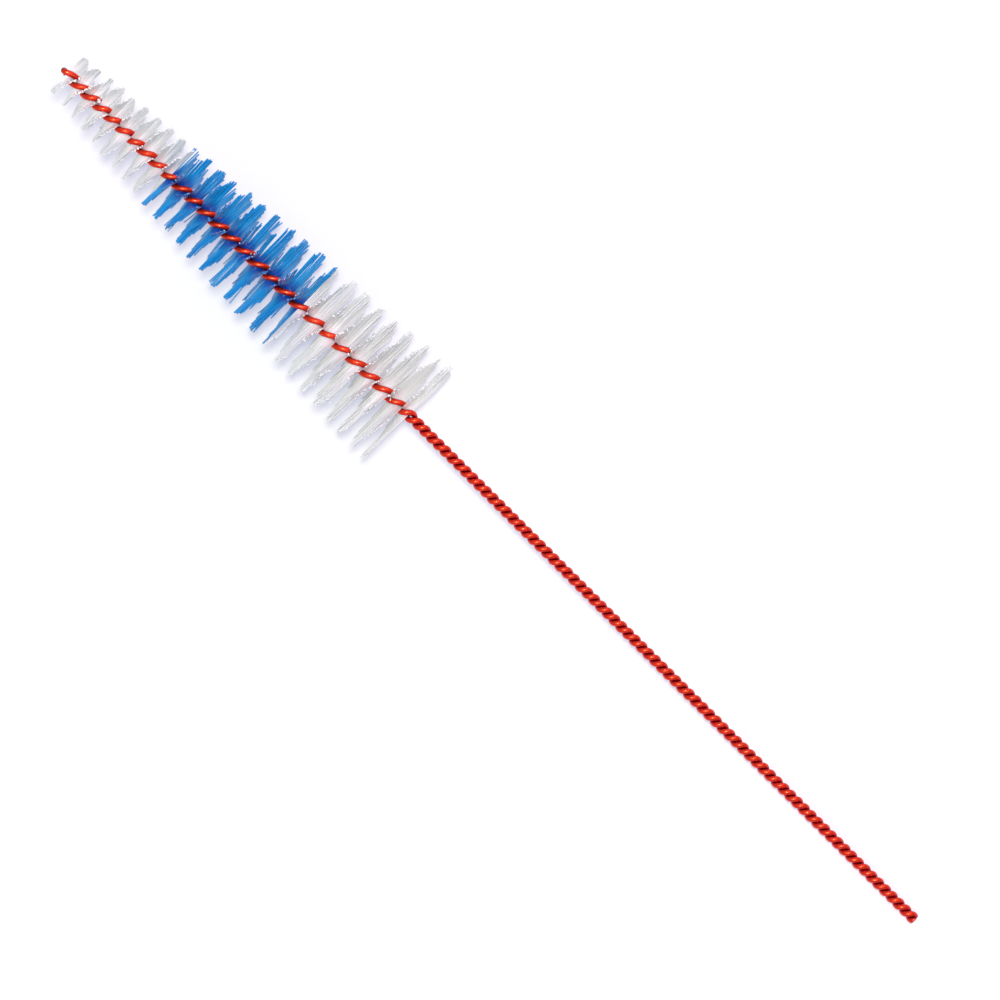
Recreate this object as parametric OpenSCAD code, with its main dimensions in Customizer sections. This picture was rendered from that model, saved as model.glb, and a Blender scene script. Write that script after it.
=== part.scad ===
// Interdental brush, lying on a table.
// One coated wire is folded into a hairpin. Its two legs are twisted together and grip
// a layer of filaments, whose free ends stand out as a conical spiral of bristles.
// The brush is worked out along its own axis: x runs from the fold to the cut end,
// and angles about it are counted from +Y towards +Z. as_it_lies() lays it down.

/* [Wire] */
// Whole length, from the fold of the wire to its cut end
brush_length = 75; // [60:0.5:90]
// Diameter of the steel core
core_d = 0.2; // [0.16:0.01:0.24]
// Thickness of the coat on the core
coat_t = 0.08; // [0.07:0.01:0.12]

/* [Twist] */
// Angle of the fold about the axis of the brush
fold_angle = 181; // [0:0.5:360]
// Angle of the wire to the axis at the fold
fold_lay = 27; // [12:0.5:40]
// Angle of the wire to the axis where the twist has tightened behind the fold
nose_lay = 37.1; // [25:0.1:42]
// Angle of the wire to the axis between the front and middle bristles
front_lay = 34.7; // [25:0.1:42]
// Angle of the wire to the axis between the middle and rear bristles
middle_lay = 29.2; // [25:0.1:42]
// Angle of the wire to the axis in the rear bristles, where the last tightening starts
rear_lay = 32.3; // [25:0.1:42]
// Angle of the wire to the axis in the bare stem
stem_lay = 44.35; // [30:0.05:44.6]
// Length behind the fold over which the twist tightens
nose_length = 1.5; // [1:0.1:4]
// Length ahead of the last bristle from which the twist tightens to the stem's
tightening_length = 1.2; // [0.5:0.1:3]
// Length behind the last bristle over which the legs close up
closing_length = 1; // [0.6:0.1:3]

/* [Bristles] */
// Bare length ahead of the first bristle
bare_length = 0.5; // [0.5:0.05:2]
// Length of the front white bristles along the axis
front_length = 9; // [5:0.5:12]
// Length of the middle blue bristles along the axis
middle_length = 11.5; // [5:0.5:14]
// Length of the rear white bristles along the axis
rear_length = 9.5; // [5:0.5:12]
// Diameter over the tips of the first bristles
front_d = 3.1; // [2:0.1:4]
// Diameter over the tips of the last bristles
rear_d = 8.2; // [4:0.1:9]
// Thickness of one filament
filament_d = 0.085; // [0.06:0.005:0.12]
// Distance between filaments along the axis
filament_spacing = 0.15; // [0.13:0.005:0.2]

/* [Hidden] */

// Clearances: between the two legs, core and coat, filaments and legs, and two zones
leg_gap = 0.01;
bond_gap = 0.008;
grip_gap = 0.005;
zone_gap = 0.02;

// Rings a turn and sides of the skin of the coat, and of the core with its bore
skin_rings = 6;
skin_sides = 6;
core_rings = 4;
core_sides = 4;
fold_steps = 4;

// Radii of the wire, and of each leg's centre line round the axis
wire_d = core_d + 2 * coat_t;
stem_helix_r = (wire_d + leg_gap) / 2;
brush_helix_r = (wire_d + filament_d) / 2 + grip_gap;
shank_r = path_r(stem_helix_r, skin_rings) + corner_r(wire_d, skin_sides);

// Half width and squeezed thickness of the layer of filaments held between the legs
grip_width_share = 0.36;
squeeze_share = 0.6;
grip_half = wire_d * grip_width_share;
grip_t = filament_d * squeeze_share;

// Places along the axis
fold_x = path_r(brush_helix_r, skin_rings) + corner_r(wire_d, skin_sides);
front_x = bare_length;
middle_x = front_x + front_length;
rear_x = middle_x + middle_length;
bristle_end_x = rear_x + rear_length;
tighten_x = bristle_end_x - tightening_length;
stem_x = bristle_end_x + closing_length;

// Half turns of twist per unit of length, which run evenly from one place to the next
places = [0, nose_length, middle_x, rear_x, tighten_x, stem_x, 2 * brush_length];
rates = [
    half_turn_rate(fold_lay, brush_helix_r),
    half_turn_rate(nose_lay, brush_helix_r),
    half_turn_rate(front_lay, brush_helix_r),
    half_turn_rate(middle_lay, brush_helix_r),
    half_turn_rate(rear_lay, brush_helix_r),
    half_turn_rate(stem_lay, stem_helix_r),
    half_turn_rate(stem_lay, stem_helix_r)
];
sums = running_sums(0, [0]);

// Slope of the table under the brush, and the brush's extent along the table
lie_angle = atan((rear_d / 2 - shank_r) / (brush_length - bristle_end_x));
lie_length = brush_length * cos(lie_angle) + shank_r * sin(lie_angle);

function half_turn_rate(lay, r) = tan(lay) / (PI * r);

// Half turns from x = 0 to each place
function running_sums(i, done) =
    i == len(places) - 1 ? done :
    running_sums(i + 1, concat(done, [
        done[i] + (places[i + 1] - places[i]) * (rates[i] + rates[i + 1]) / 2
    ]));

function slope(k) = (rates[k + 1] - rates[k]) / (places[k + 1] - places[k]);

function stretch(v, list) = min(len(list) - 2, max(0, len([for (s = list) if (s <= v) s]) - 1));

// Half turns from x = 0 to x, and the x at which a number of half turns is reached
function half_turns(x) =
    let (k = stretch(x, places), dx = x - places[k])
    sums[k] + dx * (rates[k] + slope(k) * dx / 2);

function x_at(turns) =
    let (k = stretch(turns, sums), dh = turns - sums[k])
    places[k] + 2 * dh / (rates[k] + sqrt(rates[k] * rates[k] + 2 * slope(k) * dh));

// Direction from the axis to the first leg at x, and of the filaments between the legs
function leg_angle(x) = fold_angle - 180 * half_turns(x);
function leg_way(x) = [0, cos(leg_angle(x)), sin(leg_angle(x))];
function filament_way(x) = [0, -sin(leg_angle(x)), cos(leg_angle(x))];

// Radius of a leg's true centre line at x
function helix_r(x) =
    let (t = min(1, max(0, (x - bristle_end_x) / closing_length)))
    brush_helix_r + (stem_helix_r - brush_helix_r) * t * t * (3 - 2 * t);

// Radius of a polygon's corners that lie as far outside a circle as its flats lie inside
function corner_r(d, sides) = d / (1 + cos(180 / sides));

// Corner radius of the centre line with a number of rings a turn. The skin's inner corners
// lie on the round wire's inner side, and any other line has the mean radius of the skin's.
function path_r(r, rings) =
    (r - wire_d / 2 + corner_r(wire_d, skin_sides))
    * (1 + cos(180 / skin_rings)) / (1 + cos(180 / rings));

// Stations of the hairpin, from the cut end of one leg round the fold to the other.
// Each has its x, its distance from the axis towards the first leg, its outer side, and
// the corners by which its ring is turned so that the sides run straight along the wire.
function leg_steps(rings) =
    ceil((half_turns(brush_length) - half_turns(fold_x)) * rings / 2);

function leg_stations(rings, side) =
    let (first = half_turns(fold_x), last = half_turns(brush_length), steps = leg_steps(rings))
    [for (i = [0:steps])
        let (x = x_at(first + (last - first) * i / steps))
        [x, side * path_r(helix_r(x), rings), 0, side, side * i]];

function fold_stations(rings) =
    let (r = path_r(brush_helix_r, rings))
    [for (i = [1:fold_steps - 1])
        let (a = 180 * i / fold_steps - 90)
        [fold_x - r * cos(a), r * sin(a), -cos(a), sin(a), 0]];

function reversed(list) = [for (i = [len(list) - 1:-1:0]) list[i]];

function hairpin(rings) = concat(
    reversed(leg_stations(rings, -1)),
    fold_stations(rings),
    leg_stations(rings, 1)
);

function centre(s) = [s[0], 0, 0] + s[1] * leg_way(s[0]);
function outer_side(s) = [s[2], 0, 0] + s[3] * leg_way(s[0]);
function unit(v) = v / norm(v);

// Ring of corners round a station, square to the wire
function ring(s, way, d, sides) =
    let (
        n = unit(outer_side(s) - (outer_side(s) * way) * way),
        b = cross(way, n)
    )
    [for (i = [0:sides - 1])
        let (a = 360 * (i + s[4]) / sides)
        centre(s) + corner_r(d, sides) * (cos(a) * n + sin(a) * b)];

// The end rings follow the twist onto the plane of the cut
function cut(points) =
    [for (p = points)
        let (turn = leg_angle(brush_length) - leg_angle(p[0]))
        [
            brush_length,
            p[1] * cos(turn) - p[2] * sin(turn),
            p[1] * sin(turn) + p[2] * cos(turn)
        ]];

function tube_points(d, sides, rings) =
    let (
        s = hairpin(rings),
        last = len(s) - 1,
        ways = [for (i = [0:last - 1]) unit(centre(s[i + 1]) - centre(s[i]))]
    )
    [for (i = [0:last])
        let (
            way = unit(ways[max(0, i - 1)] + ways[min(last - 1, i)]),
            corners = ring(s[i], way, d, sides)
        )
        each (i == 0 || i == last ? cut(corners) : corners)];

// Triangles round a tube whose first corner is number `from`
function tube_faces(count, sides, from) =
    [for (j = [0:count / sides - 2], i = [0:sides - 1])
        let (
            a = from + j * sides + i,
            b = from + j * sides + (i + 1) % sides
        )
        each [[a, a + sides, b], [b, a + sides, b + sides]]];

function flipped(faces) = [for (f = faces) [f[2], f[1], f[0]]];

// Fan over the ring of corners that starts at number `from`
function fan(sides, from) = [for (i = [1:sides - 2]) [from, from + i, from + i + 1]];

// Number of a corner in a ring that is turned by some corners
function corner(from, sides, i, turned) = from + ((i - turned) % sides + sides) % sides;

// Triangles of the flat ring between an outer polygon and a bore of fewer sides, where
// each starts at a corner number and is turned by some corners
function annulus(outer, outer_sides, outer_turned, inner, inner_sides, inner_turned) =
    [for (j = [0:outer_sides - 1])
        let (
            near = floor(j * inner_sides / outer_sides),
            next = floor((j + 1) * inner_sides / outer_sides),
            a = corner(outer, outer_sides, j, outer_turned),
            b = corner(outer, outer_sides, j + 1, outer_turned),
            c = corner(inner, inner_sides, near, inner_turned),
            d = corner(inner, inner_sides, next, inner_turned)
        )
        each (near == next ? [[a, b, d]] : [[a, b, d], [a, d, c]])];

// Solid wire along the hairpin
module wire(d, sides, rings) {
    points = tube_points(d, sides, rings);
    faces = concat(
        tube_faces(len(points), sides, 0),
        fan(sides, 0),
        flipped(fan(sides, len(points) - sides))
    );
    polyhedron(points, faces);
}

// Hollow sleeve along the hairpin, with an open bore
module sleeve(outer_d, outer_sides, outer_rings, bore_d, bore_sides, bore_rings) {
    skin = tube_points(outer_d, outer_sides, outer_rings);
    bore = tube_points(bore_d, bore_sides, bore_rings);
    start = len(skin);
    skin_end = start - outer_sides;
    bore_end = start + len(bore) - bore_sides;
    skin_turned = leg_steps(outer_rings);
    bore_turned = leg_steps(bore_rings);
    faces = concat(
        tube_faces(len(skin), outer_sides, 0),
        flipped(tube_faces(len(bore), bore_sides, start)),
        annulus(0, outer_sides, -skin_turned, start, bore_sides, -bore_turned),
        flipped(annulus(skin_end, outer_sides, skin_turned, bore_end, bore_sides, bore_turned))
    );
    polyhedron(concat(skin, bore), faces);
}

// Corners of the held layer at x: two at each edge, and two at the axis between them
function layer_corners(x) =
    [for (across = [1, 0, -1], face = [1, -1])
        [x, 0, 0] + across * grip_half * filament_way(x) + face * grip_t / 2 * leg_way(x)];

// Radius over the bristle tips at x
function tip_r(x) =
    (front_d + (rear_d - front_d) * (x - front_x) / (bristle_end_x - front_x)) / 2;

// Corners of the two tips of the filament whose middle is at x
function tip_corners(x) =
    [for (side = [1, -1], along = [-1, 1], face = [1, -1])
        [x + along * filament_d / 2, 0, 0]
        + side * tip_r(x) * filament_way(x)
        + face * filament_d / 2 * leg_way(x)];

// One zone of bristles: the layer held between the legs is cut into cells along the
// axis, and a strand of four sides grows from both edges of each cell.
module bristles(start_x, length) {
    from_x = start_x + zone_gap / 2;
    run = length - zone_gap;
    cells = round(run / filament_spacing);
    step = run / cells;
    layer = [for (i = [0:cells]) each layer_corners(from_x + i * step)];
    tips = [for (i = [0:cells - 1]) each tip_corners(from_x + (i + 0.5) * step)];
    last = 6 * cells;
    first_tip = len(layer);
    strands = [for (i = [0:cells - 1], side = [0, 1])
        let (
            a = 6 * i + 4 * side,
            t = first_tip + 8 * i + 4 * side,
            root = [a, a + 1, a + 7, a + 6],
            tip = [t, t + 1, t + 3, t + 2],
            walls = [for (k = [0:3])
                let (m = (k + 1) % 4)
                each [[root[k], root[m], tip[m]], [root[k], tip[m], tip[k]]]],
            cap = [[tip[0], tip[1], tip[2]], [tip[0], tip[2], tip[3]]]
        )
        each (side == 0 ? flipped(concat(walls, cap)) : concat(walls, cap))];
    sheets = [for (i = [0:cells - 1], half = [0, 1])
        let (a = 6 * i + 2 * half, b = a + 6)
        each [
            [a, a + 2, b + 2], [a, b + 2, b],
            [a + 1, b + 1, a + 3], [a + 3, b + 1, b + 3]
        ]];
    ends = [for (half = [0, 1])
        let (a = 2 * half, b = last + 2 * half)
        each [
            [a, a + 1, a + 2], [a + 1, a + 3, a + 2],
            [b, b + 2, b + 1], [b + 1, b + 2, b + 3]
        ]];
    polyhedron(concat(layer, tips), concat(strands, sheets, ends));
}

// The last bristles and the cut end of the stem rest on z = 0
module as_it_lies() {
    translate([-lie_length / 2, 0, brush_length * sin(lie_angle) + shank_r * cos(lie_angle)])
        rotate([0, lie_angle, 0])
            children();
}

module core_wire() {
    color("silver")
        as_it_lies()
            wire(core_d, core_sides, core_rings);
}

module wire_coating() {
    color("crimson")
        as_it_lies()
            sleeve(wire_d, skin_sides, skin_rings,
                   core_d + 2 * bond_gap, core_sides, core_rings);
}

module front_white_bristles() {
    color("whitesmoke")
        as_it_lies()
            bristles(front_x, front_length);
}

module middle_blue_bristles() {
    color("dodgerblue")
        as_it_lies()
            bristles(middle_x, middle_length);
}

module rear_white_bristles() {
    color("whitesmoke")
        as_it_lies()
            bristles(rear_x, rear_length);
}

core_wire();
wire_coating();
front_white_bristles();
middle_blue_bristles();
rear_white_bristles();
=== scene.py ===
"""Interdental brush: a coated wire, folded and twisted, grips three zones of filaments.

Sizes are in millimetres along the brush's own axis, as in its construction: x runs from
the fold of the wire to its cut end, and angles about it are counted from +Y towards +Z.
"""

import math

import bpy
import numpy as np
from mathutils import Matrix, Vector


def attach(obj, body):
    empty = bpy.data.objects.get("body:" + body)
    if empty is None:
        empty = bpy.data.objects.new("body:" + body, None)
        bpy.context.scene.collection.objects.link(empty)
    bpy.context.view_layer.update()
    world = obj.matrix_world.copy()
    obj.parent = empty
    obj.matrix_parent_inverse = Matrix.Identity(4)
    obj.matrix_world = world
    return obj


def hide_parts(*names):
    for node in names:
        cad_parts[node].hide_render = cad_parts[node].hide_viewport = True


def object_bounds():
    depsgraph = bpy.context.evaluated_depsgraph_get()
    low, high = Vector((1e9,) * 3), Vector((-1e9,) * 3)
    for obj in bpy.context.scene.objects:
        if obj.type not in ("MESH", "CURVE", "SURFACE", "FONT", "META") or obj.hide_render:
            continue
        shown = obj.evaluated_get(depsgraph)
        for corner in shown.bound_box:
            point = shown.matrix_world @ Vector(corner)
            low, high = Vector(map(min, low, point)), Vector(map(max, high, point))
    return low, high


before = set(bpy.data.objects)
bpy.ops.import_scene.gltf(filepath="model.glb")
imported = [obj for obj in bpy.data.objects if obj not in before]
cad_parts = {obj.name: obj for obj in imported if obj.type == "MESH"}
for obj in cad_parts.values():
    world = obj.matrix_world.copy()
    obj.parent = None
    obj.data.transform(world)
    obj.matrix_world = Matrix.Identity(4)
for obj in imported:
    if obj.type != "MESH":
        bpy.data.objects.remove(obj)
cad_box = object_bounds()

MM = 0.001
SEED = 7
AXIS = (1.0, 0.0, 0.0)
UP = (0.0, 0.0, 1.0)

# Wire: core, coat, and the gaps between its legs and on both sides of what they hold
LENGTH = 75.0
CORE_D = 0.2
COAT_T = 0.08
WIRE_D = CORE_D + 2 * COAT_T
LEG_GAP = 0.01
GRIP_GAP = 0.005
HELD_D = 0.085

# Places along the axis
FRONT_X = 0.5
NOSE_LENGTH = 1.98
MIDDLE_X = 9.5
REAR_X = 21.0
TIGHTEN_X = 29.3
BRISTLE_END_X = 30.5
STEM_X = 31.5

# Twist: angle of the fold, and the wire's angle to the axis at each of the places but the
# last, which lies past the cut end and has the stem's twist too
FOLD_ANGLE = 118.5
LAYS = [17.8, 36.95, 34.7, 29.2, 32.3, 44.35]
STEM_HELIX_R = (WIRE_D + LEG_GAP) / 2
BRUSH_HELIX_R = (WIRE_D + HELD_D) / 2 + GRIP_GAP
PLACES = np.array([0.0, NOSE_LENGTH, MIDDLE_X, REAR_X, TIGHTEN_X, STEM_X, 2 * LENGTH])

# Cone of the bristles' tips: its ends, and how far its middle stands out
FRONT_D = 3.1
REAR_D = 8.2
FULLNESS = 0.15

# The brush lies on its last bristles and the cut end of its stem, as its solids do. Their
# wire has six sides, with corners as far outside the round wire as its flats are inside.
SOLID_SIDES = 6
CORNER_R = WIRE_D / (1 + math.cos(math.pi / SOLID_SIDES))
SHANK_R = STEM_HELIX_R - WIRE_D / 2 + 2 * CORNER_R
LIE = math.atan((REAR_D / 2 - SHANK_R) / (LENGTH - BRISTLE_END_X))
LIE_LENGTH = LENGTH * math.cos(LIE) + SHANK_R * math.sin(LIE)
LIFT = LENGTH * math.sin(LIE) + SHANK_R * math.cos(LIE)
LYING = (
    Matrix.Translation((-LIE_LENGTH / 2 * MM, 0, LIFT * MM))
    @ Matrix.Rotation(LIE, 4, "Y")
)


def half_turn_rate(lay, r):
    """Half turns a millimetre of a wire at an angle to the axis, a distance r from it."""
    return math.tan(math.radians(lay)) / (math.pi * r)


# The rate changes evenly from each place to the next, and its sums are half turns
RATES = np.array(
    [half_turn_rate(lay, BRUSH_HELIX_R) for lay in LAYS[:-1]]
    + [half_turn_rate(LAYS[-1], STEM_HELIX_R)] * 2
)
SLOPES = np.diff(RATES) / np.diff(PLACES)
SUMS = np.concatenate([[0.0], np.cumsum(np.diff(PLACES) * (RATES[1:] + RATES[:-1]) / 2)])


def half_turns(x):
    """Half turns of the twist from the start of the axis to x."""
    k = np.clip(np.searchsorted(PLACES, x, side="right") - 1, 0, len(SLOPES) - 1)
    dx = x - PLACES[k]
    return SUMS[k] + dx * (RATES[k] + SLOPES[k] * dx / 2)


def x_at(turns):
    """Where the twist has made a number of half turns."""
    k = np.clip(np.searchsorted(SUMS, turns, side="right") - 1, 0, len(SLOPES) - 1)
    dh = turns - SUMS[k]
    return PLACES[k] + 2 * dh / (RATES[k] + np.sqrt(RATES[k] ** 2 + 2 * SLOPES[k] * dh))


def leg_angle(x):
    """Angle about the axis of the wire's first leg. The other is half a turn away."""
    return math.radians(FOLD_ANGLE) - math.pi * half_turns(x)


def round_the_axis(x, r, angle):
    """Points at x, at a distance r from the axis, at an angle about it."""
    x, r, angle = np.broadcast_arrays(x, r, angle)
    return np.stack([x, r * np.cos(angle), r * np.sin(angle)], -1)


def unit(v):
    return v / np.linalg.norm(v, axis=-1, keepdims=True)


# Meshes

# How near to the plane of the cut a point counts as in it
CUT_TOLERANCE = 1e-6

# Name of the attribute that holds the filaments' tones, with their painted shade and
# highlights
TONE = "tone"


def add_object(name, data):
    made = bpy.data.objects.new(name, data)
    bpy.context.scene.collection.objects.link(made)
    return made


def make_piece(name, points, faces, material, replaced, tones=None):
    """A mesh from points in millimetres along the brush, laid on the table.

    Its quads are smooth, but for those in the plane of the cut.
    """
    mesh = bpy.data.meshes.new(name)
    mesh.from_pydata((points * MM).tolist(), [], faces)
    mesh.transform(LYING)
    before_cut = (points[:, 0] < LENGTH - CUT_TOLERANCE).tolist()
    smooth = [len(face) == 4 and any(before_cut[v] for v in face) for face in faces]
    mesh.polygons.foreach_set("use_smooth", smooth)
    if tones is not None:
        layer = mesh.attributes.new(TONE, "FLOAT", "POINT")
        layer.data.foreach_set("value", np.asarray(tones, np.float32))
    mesh.materials.append(material)
    mesh.validate()
    piece = add_object(name, mesh)
    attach(piece, "root")
    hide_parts(replaced)
    return piece


def circles(path, radius, sides, normal, across):
    """Rings of points about those of a path, in the planes of normal and across."""
    turn = np.linspace(0, 2 * math.pi, sides, endpoint=False)[:, None]
    ring = np.cos(turn) * normal[..., None, :] + np.sin(turn) * across[..., None, :]
    return path[..., None, :] + radius * ring


def tube_faces(rings, sides, start=0):
    """Quads round rings of points that follow each other, facing inwards."""
    faces = []
    for ring in range(rings - 1):
        for side in range(sides):
            a = start + ring * sides + side
            b = start + ring * sides + (side + 1) % sides
            faces.append((a, b, b + sides, a + sides))
    return faces


def closed_tube(rings, sides):
    """Faces of a tube with a cap on each end, facing outwards."""
    faces = [face[::-1] for face in tube_faces(rings, sides)]
    faces.append(tuple(range(sides)))
    faces.append(tuple(reversed(range((rings - 1) * sides, rings * sides))))
    return faces


# Wire and coat

# Rings of points in a turn of the twist, in the fold, and next to each cut end
RINGS_A_TURN = 26
FOLD_RINGS = 18
CUT_RINGS = 11

# Gap between the nose of the coat and the start of the axis
NOSE_GAP = 0.004
COAT_R = 0.189
BORE_R = CORE_D / 2 + GRIP_GAP
COAT_SIDES = 14
BORE_SIDES = 10
CORE_SIDES = 8


def helix_r(x):
    """Distance of the legs from the axis, which eases from the brush's to the stem's."""
    t = np.clip((x - BRISTLE_END_X) / (STEM_X - BRISTLE_END_X), 0, 1)
    return BRUSH_HELIX_R + (STEM_HELIX_R - BRUSH_HELIX_R) * t * t * (3 - 2 * t)


def hairpin():
    """Centre line of the wire, from one cut end round the fold to the other."""
    fold_x = BRUSH_HELIX_R + COAT_R + NOSE_GAP
    first, last = half_turns(fold_x), half_turns(LENGTH)
    steps = math.ceil((last - first) * RINGS_A_TURN / 2)
    x = x_at(np.linspace(first, last, steps + 1))
    leg = round_the_axis(x, helix_r(x), leg_angle(x))
    other = round_the_axis(x, -helix_r(x), leg_angle(x))
    bend = np.linspace(-math.pi / 2, math.pi / 2, FOLD_RINGS + 1)[1:-1]
    bend_x = fold_x - BRUSH_HELIX_R * np.cos(bend)
    fold = round_the_axis(bend_x, BRUSH_HELIX_R * np.sin(bend), leg_angle(bend_x))
    return np.concatenate([other[::-1], fold, leg])


def rings_along(path, radius, sides):
    """Rings of points round the wire's path, turned as little as its bends allow.

    The end rings are slid along the wire into the plane of the cut, and the rings next to
    them are kept from passing it.
    """
    way = unit(np.gradient(path, axis=0))
    normal = unit(np.cross(way[0], UP))
    normals = np.empty_like(path)
    for i, w in enumerate(way):
        normal = normal - w * np.dot(normal, w)
        normal = normal / np.linalg.norm(normal)
        normals[i] = normal
    rings = circles(path, radius, sides, normals, np.cross(way, normals))
    for end in (0, -1):
        slide = (LENGTH - rings[end, :, 0]) / way[end][0]
        rings[end] += slide[:, None] * way[end]
    for near_cut in (rings[1:CUT_RINGS + 1], rings[-CUT_RINGS - 1:-1]):
        near_cut[..., 0] = np.minimum(near_cut[..., 0], LENGTH)
    return rings


def coat_mesh(path):
    """The hollow coat: skin, bore, and the flat ring between them at each end."""
    skin = rings_along(path, COAT_R, COAT_SIDES)
    bore = rings_along(path, BORE_R, BORE_SIDES)
    count = len(path)
    start = count * COAT_SIDES
    faces = [face[::-1] for face in tube_faces(count, COAT_SIDES)]
    faces += tube_faces(count, BORE_SIDES, start)
    for end in (0, count - 1):
        for side in range(COAT_SIDES):
            near = side * BORE_SIDES // COAT_SIDES
            after = (side + 1) * BORE_SIDES // COAT_SIDES
            a = end * COAT_SIDES + side
            b = end * COAT_SIDES + (side + 1) % COAT_SIDES
            c = start + end * BORE_SIDES + near
            d = start + end * BORE_SIDES + after % BORE_SIDES
            face = (a, b, d) if near == after else (a, b, d, c)
            faces.append(face if end == 0 else face[::-1])
    return np.concatenate([skin.reshape(-1, 3), bore.reshape(-1, 3)]), faces


def core_mesh(path):
    rings = rings_along(path, CORE_D / 2, CORE_SIDES)
    return rings.reshape(-1, 3), closed_tube(len(path), CORE_SIDES)


# Bristles: each filament is one tube from the tip on one side of the axis to the other's

FILAMENT_D = 0.08
STRAND_SIDES = 5

# Distance between filaments along the axis, and by what share of it they may be off
FILAMENT_SPACING = 0.021
PLACE_JITTER = 0.3

# Rings of a filament, as shares of the way from the axis to its tip
REACHES = np.array([0.02, 0.1, 0.24, 0.42, 0.62, 0.82, 0.985, 1.0])

# Clumps: their length along the axis, how far their tips swing about it, in millimetres,
# and how strongly their filaments gather at their middle
CLUMP_LENGTH = 0.15
CLUMP_SWING = 0.2
CLUMP_PULL = 0.45

# Share of the filaments that stray, and how many times further than the others
STRAY_SHARE = 0.04
STRAY_FACTOR = 4

# What parts of a zone's raggedness a clump and a filament of its own lean along the axis
CLUMP_LEAN_PART = 8
OWN_LEAN_PART = 10

# Bow in millimetres, shares cut off the length, and loss of tone, of a clump and of a
# filament of its own
CLUMP_BOW, OWN_BOW = 0.03, 0.01
CLUMP_SHORT, OWN_SHORT = (-0.02, 0.03), (0, 0.03)
CLUMP_FADE, OWN_FADE = 0.35, 0.2

# Painted shade: the filaments darken towards their tips, most of all near their ends
TIP_SHADE = 0.4
SHADE_POWER = 1.5

# Tips turn about the axis at first more than later on their way out. In the nose they
# bend back from the wire's own twist to where the solids' bristles are.
TURN_POWER = 0.5
NOSE_SPLAY = math.radians(62)
SPLAY_POWER = 1.4

# Least sine or cosine for which a side of the box limits a filament
LEAST_SLANT = 0.1


def tip_r(x):
    """Radius of the trimmed cone, with an arch added to it."""
    share = (x - FRONT_X) / (BRISTLE_END_X - FRONT_X)
    cone = FRONT_D + (REAR_D - FRONT_D) * share
    return cone / 2 + 4 * FULLNESS * share * (1 - share)


def room(x, angle):
    """How far from the axis a tip may be, to stay inside the part's own box."""
    height = LIFT - x * math.sin(LIE)
    side = cad_box[1][1] / MM / np.maximum(np.abs(np.cos(angle)), LEAST_SLANT)
    above = (cad_box[1][2] / MM - height) / np.maximum(np.sin(angle), LEAST_SLANT)
    below = height / np.maximum(-np.sin(angle), LEAST_SLANT)
    return np.minimum(np.minimum(side, above), below) - FILAMENT_D / 2


def filaments(rng, start, end, ragged):
    """Places of a zone's filaments, and how the clumps at both their ends stray."""
    count = round((end - start) / FILAMENT_SPACING)
    step = (end - start) / count
    jitter = rng.uniform(-PLACE_JITTER, PLACE_JITTER, count)
    x = start + (np.arange(count) + 0.5 + jitter) * step
    ends = []
    for _ in range(2):
        clump = np.cumsum(rng.random(count) < step / CLUMP_LENGTH)
        clump -= clump[0]
        many = clump[-1] + 1
        middle = (np.bincount(clump, x) / np.bincount(clump))[clump]
        stray = np.where(rng.random(count) < STRAY_SHARE, STRAY_FACTOR, 1)
        swing = rng.normal(0, CLUMP_SWING, many)[clump] + rng.normal(0, ragged * stray)
        ends.append({
            "turn": CLUMP_PULL * (leg_angle(middle) - leg_angle(x)) + swing / tip_r(x),
            "lean": (
                rng.normal(0, ragged / CLUMP_LEAN_PART, many)[clump]
                + rng.normal(0, ragged * stray / OWN_LEAN_PART)
            ),
            "bow": rng.normal(0, CLUMP_BOW, many)[clump] + rng.normal(0, OWN_BOW, count),
            "short": (
                rng.uniform(*CLUMP_SHORT, many)[clump] + rng.uniform(*OWN_SHORT, count)
            ),
            "tone": (
                1 - CLUMP_FADE * rng.random(many)[clump] - OWN_FADE * rng.random(count)
            ),
        })
    return x, ends


def strand_path(x, side, end):
    """Centre line of one end of each filament, from near the axis to its tip."""
    angle = leg_angle(x) + math.pi / 2 + side * math.pi
    turn = end["turn"] + NOSE_SPLAY * np.maximum(1 - x / NOSE_LENGTH, 0) ** SPLAY_POWER
    radius = np.minimum(tip_r(x) * (1 - end["short"]), room(x, angle + turn))
    reach = REACHES[None, :]
    turned = angle[:, None] + turn[:, None] * reach ** TURN_POWER
    shift = (end["lean"] * radius)[:, None] * reach
    along = x[:, None] + shift + 4 * end["bow"][:, None] * reach * (1 - reach)
    return round_the_axis(along, radius[:, None] * reach, turned)


def bristle_mesh(rng, start, end, ragged, shade, cut_tone):
    """The filaments of one zone, with a tone for each point, painted shade and highlights
    included.
    """
    x, (one, other) = filaments(rng, start, end, ragged)
    path = np.concatenate([strand_path(x, 1, other)[:, ::-1], strand_path(x, 0, one)], 1)
    count, rings = path.shape[:2]
    way = unit(np.gradient(path, axis=1))
    normal = unit(np.cross(way, AXIS))
    points = circles(path, FILAMENT_D / 2, STRAND_SIDES, normal, np.cross(way, normal))
    one_tube = closed_tube(rings, STRAND_SIDES)
    faces = []
    for i in range(count):
        base = i * rings * STRAND_SIDES
        faces += [tuple(base + v for v in face) for face in one_tube]
    # Painted shade towards the tips
    tip_shade = TIP_SHADE * REACHES ** SHADE_POWER
    tone = np.concatenate(
        [other["tone"][:, None] - tip_shade[::-1], one["tone"][:, None] - tip_shade], 1
    )
    # Painted shade over the whole zone
    tone -= shade
    # Painted highlight on the cut tips, where their tone is pale
    tone[:, [0, -1]] = cut_tone
    return points.reshape(-1, 3), faces, np.repeat(tone.ravel(), STRAND_SIDES)


# Materials

# Sockets of a mix node that mixes colours
MIX_FACTOR, MIX_A, MIX_B = 0, 6, 7
MIX_RESULT = 2


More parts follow.
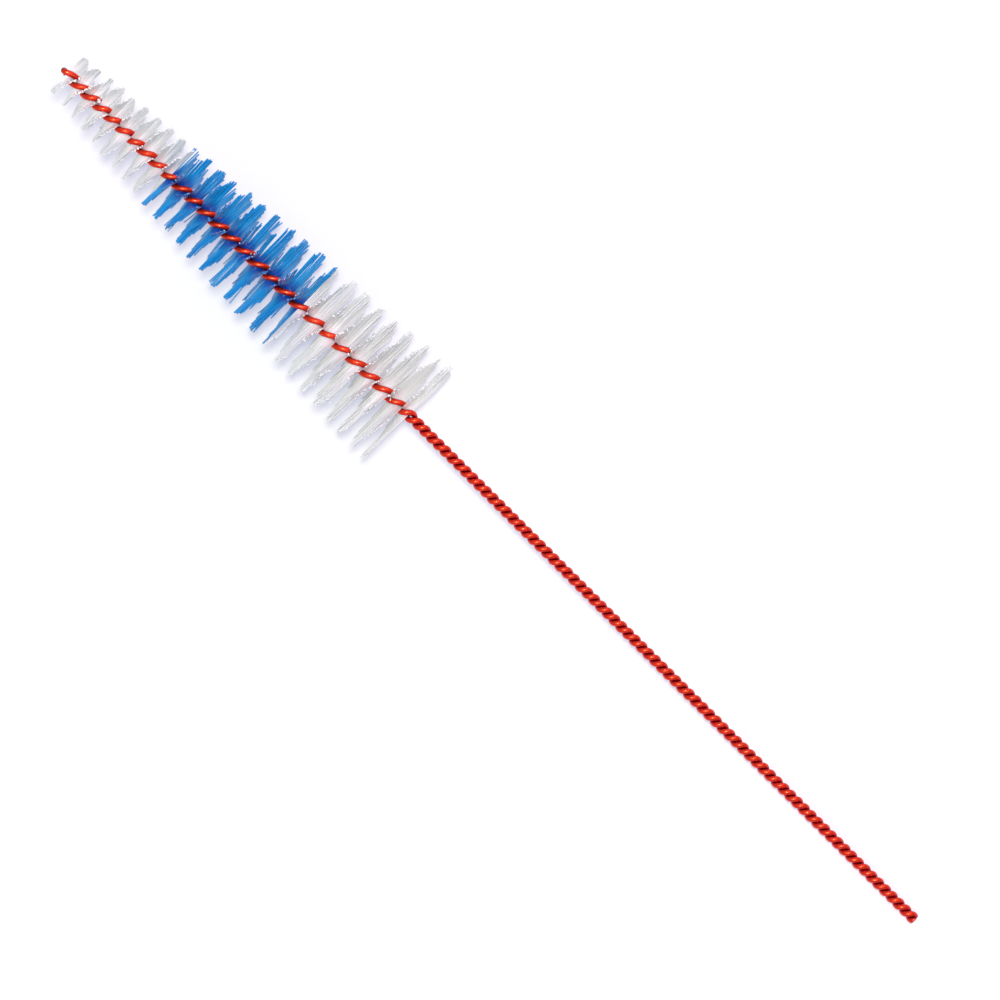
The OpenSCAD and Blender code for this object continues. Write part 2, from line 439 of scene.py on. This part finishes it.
def feed(tree, node, inputs):
    """Give a node's inputs, by name or place, a link, a number or a colour."""
    for key, value in inputs.items():
        if isinstance(value, tuple):
            node.inputs[key].default_value = (*value, 1.0)
        elif isinstance(value, (int, float)):
            node.inputs[key].default_value = value
        else:
            tree.links.new(value, node.inputs[key])


def new_material(name):
    material = bpy.data.materials.new(name)
    material.use_nodes = True
    return material, material.node_tree


def math_node(tree, operation, *values):
    made = tree.nodes.new("ShaderNodeMath")
    made.operation = operation
    feed(tree, made, dict(enumerate(values)))
    return made.outputs[0]


def mix_colour(tree, factor, a, b):
    made = tree.nodes.new("ShaderNodeMix")
    made.data_type = "RGBA"
    feed(tree, made, {MIX_FACTOR: factor, MIX_A: a, MIX_B: b})
    return made.outputs[MIX_RESULT]


def ramp(tree, value, low, high):
    """From 0 to 1 as a value goes from low to high, smoothly."""
    made = tree.nodes.new("ShaderNodeMapRange")
    made.interpolation_type = "SMOOTHSTEP"
    feed(tree, made, {"Value": value, "From Min": low, "From Max": high})
    return made.outputs["Result"]


def along_brush(tree):
    """The place on the brush in millimetres, its x, and its distance from the axis."""
    place = tree.nodes.new("ShaderNodeTexCoord")
    back = LYING.inverted()
    laid = tree.nodes.new("ShaderNodeMapping")
    laid.inputs["Location"].default_value = back.translation / MM
    laid.inputs["Rotation"].default_value = back.to_euler()
    laid.inputs["Scale"].default_value = (1 / MM,) * 3
    feed(tree, laid, {"Vector": place.outputs["Object"]})
    split = tree.nodes.new("ShaderNodeSeparateXYZ")
    feed(tree, split, {0: laid.outputs[0]})
    x, y, z = split.outputs
    squares = [math_node(tree, "POWER", across, 2.0) for across in (y, z)]
    return laid.outputs[0], x, math_node(tree, "SQRT", math_node(tree, "ADD", *squares))


def noise(tree, place, scale):
    made = tree.nodes.new("ShaderNodeTexNoise")
    feed(tree, made, {"Scale": scale, "Vector": place})
    return made.outputs["Fac"]


BUMP_DISTANCE = 0.01 * MM


def bump(tree, shader, place, scale, strength):
    """Fine unevenness of a surface."""
    height = noise(tree, place, scale)
    made = tree.nodes.new("ShaderNodeBump")
    feed(tree, made, {"Strength": strength, "Distance": BUMP_DISTANCE, "Height": height})
    feed(tree, shader, {"Normal": made.outputs[0]})


# Distances from the axis at which a filament starts and ends to take its own colour, out of
# the light and shade painted near the axis: darker on the blue nylon, paler on the white
ROOT_PAINT_RADII = (0.3, 1.3)


def nylon(name, pale, deep, root, clear):
    """Translucent filaments, each with its own tone, and light and shade painted at the
    root.
    """
    material, tree = new_material(name)
    shader = tree.nodes["Principled BSDF"]
    place, _, radius = along_brush(tree)
    tone = tree.nodes.new("ShaderNodeAttribute")
    tone.attribute_name = TONE
    own = mix_colour(tree, tone.outputs["Fac"], deep, pale)
    # Painted light and shade near the axis, from the root colour
    near = math_node(tree, "SUBTRACT", 1.0, ramp(tree, radius, *ROOT_PAINT_RADII))
    feed(tree, shader, {
        "Base Color": mix_colour(tree, near, own, root),
        "Roughness": 0.3,
        "IOR": 1.5,
        "Transmission Weight": clear,
    })
    bump(tree, shader, place, scale=14.0, strength=0.12)
    return material


# Painted shade on the coat: deep red in the grooves where the legs meet, fading to its own
# bright red on their crests, and nearly black in the eye of the fold, which ends at this x
# and at these distances from the axis
VALLEY_SHADE_RED = (0.4, 0.0, 0.02)
CREST_RED = (0.89, 0.045, 0.012)
EYE_SHADE_RED = (0.03, 0.0, 0.008)
SHADE_TO_CREST_RADII = (0.2, 0.38)
EYE_SHADE_X = (0.26, 0.4)
EYE_SHADE_RADII = (0.19, 0.26)


def candy_coat():
    """Clear red coat over bright steel, with painted shade in its grooves and the fold's
    eye.
    """
    material, tree = new_material("red_coat")
    shader = tree.nodes["Principled BSDF"]
    place, x, radius = along_brush(tree)
    # Painted shade: the coat darkens towards the axis, in the grooves between the legs
    red = mix_colour(tree, ramp(tree, radius, *SHADE_TO_CREST_RADII), VALLEY_SHADE_RED, CREST_RED)
    # Painted shade: nearly black in the eye of the fold
    off_eye_shade = math_node(
        tree, "MAXIMUM", ramp(tree, x, *EYE_SHADE_X), ramp(tree, radius, *EYE_SHADE_RADII)
    )
    feed(tree, shader, {
        "Base Color": mix_colour(tree, off_eye_shade, EYE_SHADE_RED, red),
        "Metallic": 0.8,
        "Roughness": 0.3,
        "Specular Tint": (0.15, 0.0, 0.03),
        "Coat Weight": 0.45,
        "Coat Roughness": 0.15,
        "Coat IOR": 1.45,
    })
    bump(tree, shader, place, scale=5.0, strength=0.1)
    return material


STEEL_GRAIN = 30.0
DULL_STEEL = (0.5, 0.5, 0.52)
BRIGHT_STEEL = (0.72, 0.72, 0.75)


def drawn_steel():
    material, tree = new_material("steel_core")
    place, _, _ = along_brush(tree)
    grain = noise(tree, place, STEEL_GRAIN)
    feed(tree, tree.nodes["Principled BSDF"], {
        "Base Color": mix_colour(tree, grain, DULL_STEEL, BRIGHT_STEEL),
        "Metallic": 1.0,
        "Roughness": 0.35,
    })
    return material


# Pieces

wire_path = hairpin()
points, faces = coat_mesh(wire_path)
make_piece("coated_wire", points, faces, candy_coat(), "wire_coating")
points, faces = core_mesh(wire_path)
make_piece("steel_core", points, faces, drawn_steel(), "core_wire")

# Root colours are painted light and shade near the axis: paler on white, darker on blue
white = nylon(
    "white_nylon",
    pale=(1.0, 1.0, 1.0), deep=(0.72, 0.76, 0.79), root=(0.95, 0.97, 1.0), clear=0.15,
)
blue = nylon(
    "blue_nylon",
    pale=(0.01, 0.41, 0.82), deep=(0.0, 0.22, 0.62), root=(0.0, 0.07, 0.42), clear=0.05,
)

# Start and end, raggedness of the tips in millimetres, painted shade taken off the tone,
# tone of the cut tips, painted bright on white nylon as a highlight (0 for the nylon's deep
# colour,
# 1 for its pale one), slot and material
ZONES = {
    "front_white": (FRONT_X, MIDDLE_X, 0.07, 0.3, 1.0, "white_filament", white),
    "middle_blue": (MIDDLE_X, REAR_X, 0.16, 0.0, 0.1, "blue_filament", blue),
    "rear_white": (REAR_X, BRISTLE_END_X, 0.12, 0.0, 1.0, "white_filament", white),
}
rng = np.random.default_rng(SEED)
for zone, (start, end, ragged, shade, cut_tone, slot, material) in ZONES.items():
    points, faces, tones = bristle_mesh(rng, start, end, ragged, shade, cut_tone)
    piece, solid = zone + "_filaments", zone + "_bristles"
    make_piece(piece, points, faces, material, solid, tones)


# Floor, light and camera

# In metres
FLOOR_HALF = 2.0
CLIP_END = 10

# The floor's own colour, and the glow that makes it white
FLOOR_COLOUR = (0.69, 0.66, 0.51)
GLOW_COLOUR = (0.43, 0.52, 1.0)
GLOW_STRENGTH = 0.43

SKY_COLOUR = (0.86, 0.9, 1.0)
SKY_STRENGTH = 0.5

# Place in the photograph's right, up and back directions, and size, in metres, power in
# watts, and colour
LAMPS = {
    "rose": ((0.22, 0.26, 0.3), 0.08, 0.25, (1.0, 0.5, 0.8)),
    "straw": ((-0.12, -0.15, 0.4), 0.1, 0.18, (1.0, 0.92, 0.6)),
    "key": ((0.01, 0.04, 0.6), 0.08, 2.4, (1.0, 0.99, 0.98)),
    "sky": ((0.0, 0.05, 0.5), 0.6, 0.45, (0.85, 0.9, 1.0)),
}

# The photograph: how far the brush's axis slopes down in it, what lies at its centre, how
# wide it is, and the lens that it is seen through
AXIS_ANGLE = math.radians(44.95)
CENTRE_X = 38.28
CENTRE_Y = 0.25
VIEW_WIDTH = 62.22
FOCAL_LENGTH = 280
SENSOR = 36


def white_floor():
    """A floor that is white, in reflections and through nylon too, and keeps the shadow."""
    corners = [(-1, -1), (1, -1), (1, 1), (-1, 1)]
    mesh = bpy.data.meshes.new("floor")
    mesh.from_pydata([(FLOOR_HALF * x, FLOOR_HALF * y, 0) for x, y in corners], [],
                     [(0, 1, 2, 3)])
    floor = add_object("floor", mesh)
    material, tree = new_material("floor")
    tree.nodes.clear()
    matt = tree.nodes.new("ShaderNodeBsdfDiffuse")
    feed(tree, matt, {"Color": FLOOR_COLOUR})
    rays = tree.nodes.new("ShaderNodeLightPath").outputs
    bent = math_node(tree, "MAXIMUM", rays["Is Glossy Ray"], rays["Is Transmission Ray"])
    seen = math_node(tree, "MAXIMUM", rays["Is Camera Ray"], bent)
    glow = tree.nodes.new("ShaderNodeEmission")
    strength = math_node(tree, "MULTIPLY", seen, GLOW_STRENGTH)
    feed(tree, glow, {"Color": GLOW_COLOUR, "Strength": strength})
    both = tree.nodes.new("ShaderNodeAddShader")
    feed(tree, both, {0: matt.outputs[0], 1: glow.outputs[0]})
    feed(tree, tree.nodes.new("ShaderNodeOutputMaterial"), {"Surface": both.outputs[0]})
    mesh.materials.append(material)


def turned_to_photo():
    """The photograph's right, up and back directions along the brush, as a matrix."""
    right = Vector((math.cos(AXIS_ANGLE), math.sin(AXIS_ANGLE), 0))
    up = Vector((-math.sin(AXIS_ANGLE), math.cos(AXIS_ANGLE), 0))
    return Matrix((right, up, Vector(UP))).transposed().to_4x4()


def add_camera():
    data = bpy.data.cameras.new("camera")
    data.sensor_width = SENSOR
    data.lens = FOCAL_LENGTH
    data.clip_end = CLIP_END
    distance = VIEW_WIDTH * FOCAL_LENGTH / SENSOR
    place = Matrix.Translation((CENTRE_X * MM, CENTRE_Y * MM, distance * MM))
    camera = add_object("camera", data)
    camera.matrix_world = LYING @ place @ turned_to_photo()
    bpy.context.scene.camera = camera


def add_lamp(name, place, size, power, colour):
    """A square soft box, placed from the middle of the brush and turned to it."""
    data = bpy.data.lights.new(name, "AREA")
    data.size = size
    data.energy = power
    data.color = colour
    lamp = add_object(name, data)
    middle = LYING @ Vector((LENGTH / 2 * MM, 0, 0))
    way = (LYING @ turned_to_photo()).to_3x3() @ Vector(place)
    lamp.location = middle + way
    lamp.rotation_euler = way.to_track_quat("Z", "Y").to_euler()


def add_sky():
    world = bpy.data.worlds.new("world")
    world.use_nodes = True
    tree = world.node_tree
    feed(tree, tree.nodes["Background"], {"Color": SKY_COLOUR, "Strength": SKY_STRENGTH})
    bpy.context.scene.world = world


white_floor()
add_camera()
for name, (place, size, power, colour) in LAMPS.items():
    add_lamp(name, place, size, power, colour)
add_sky()
bpy.context.scene.view_settings.view_transform = "Standard"
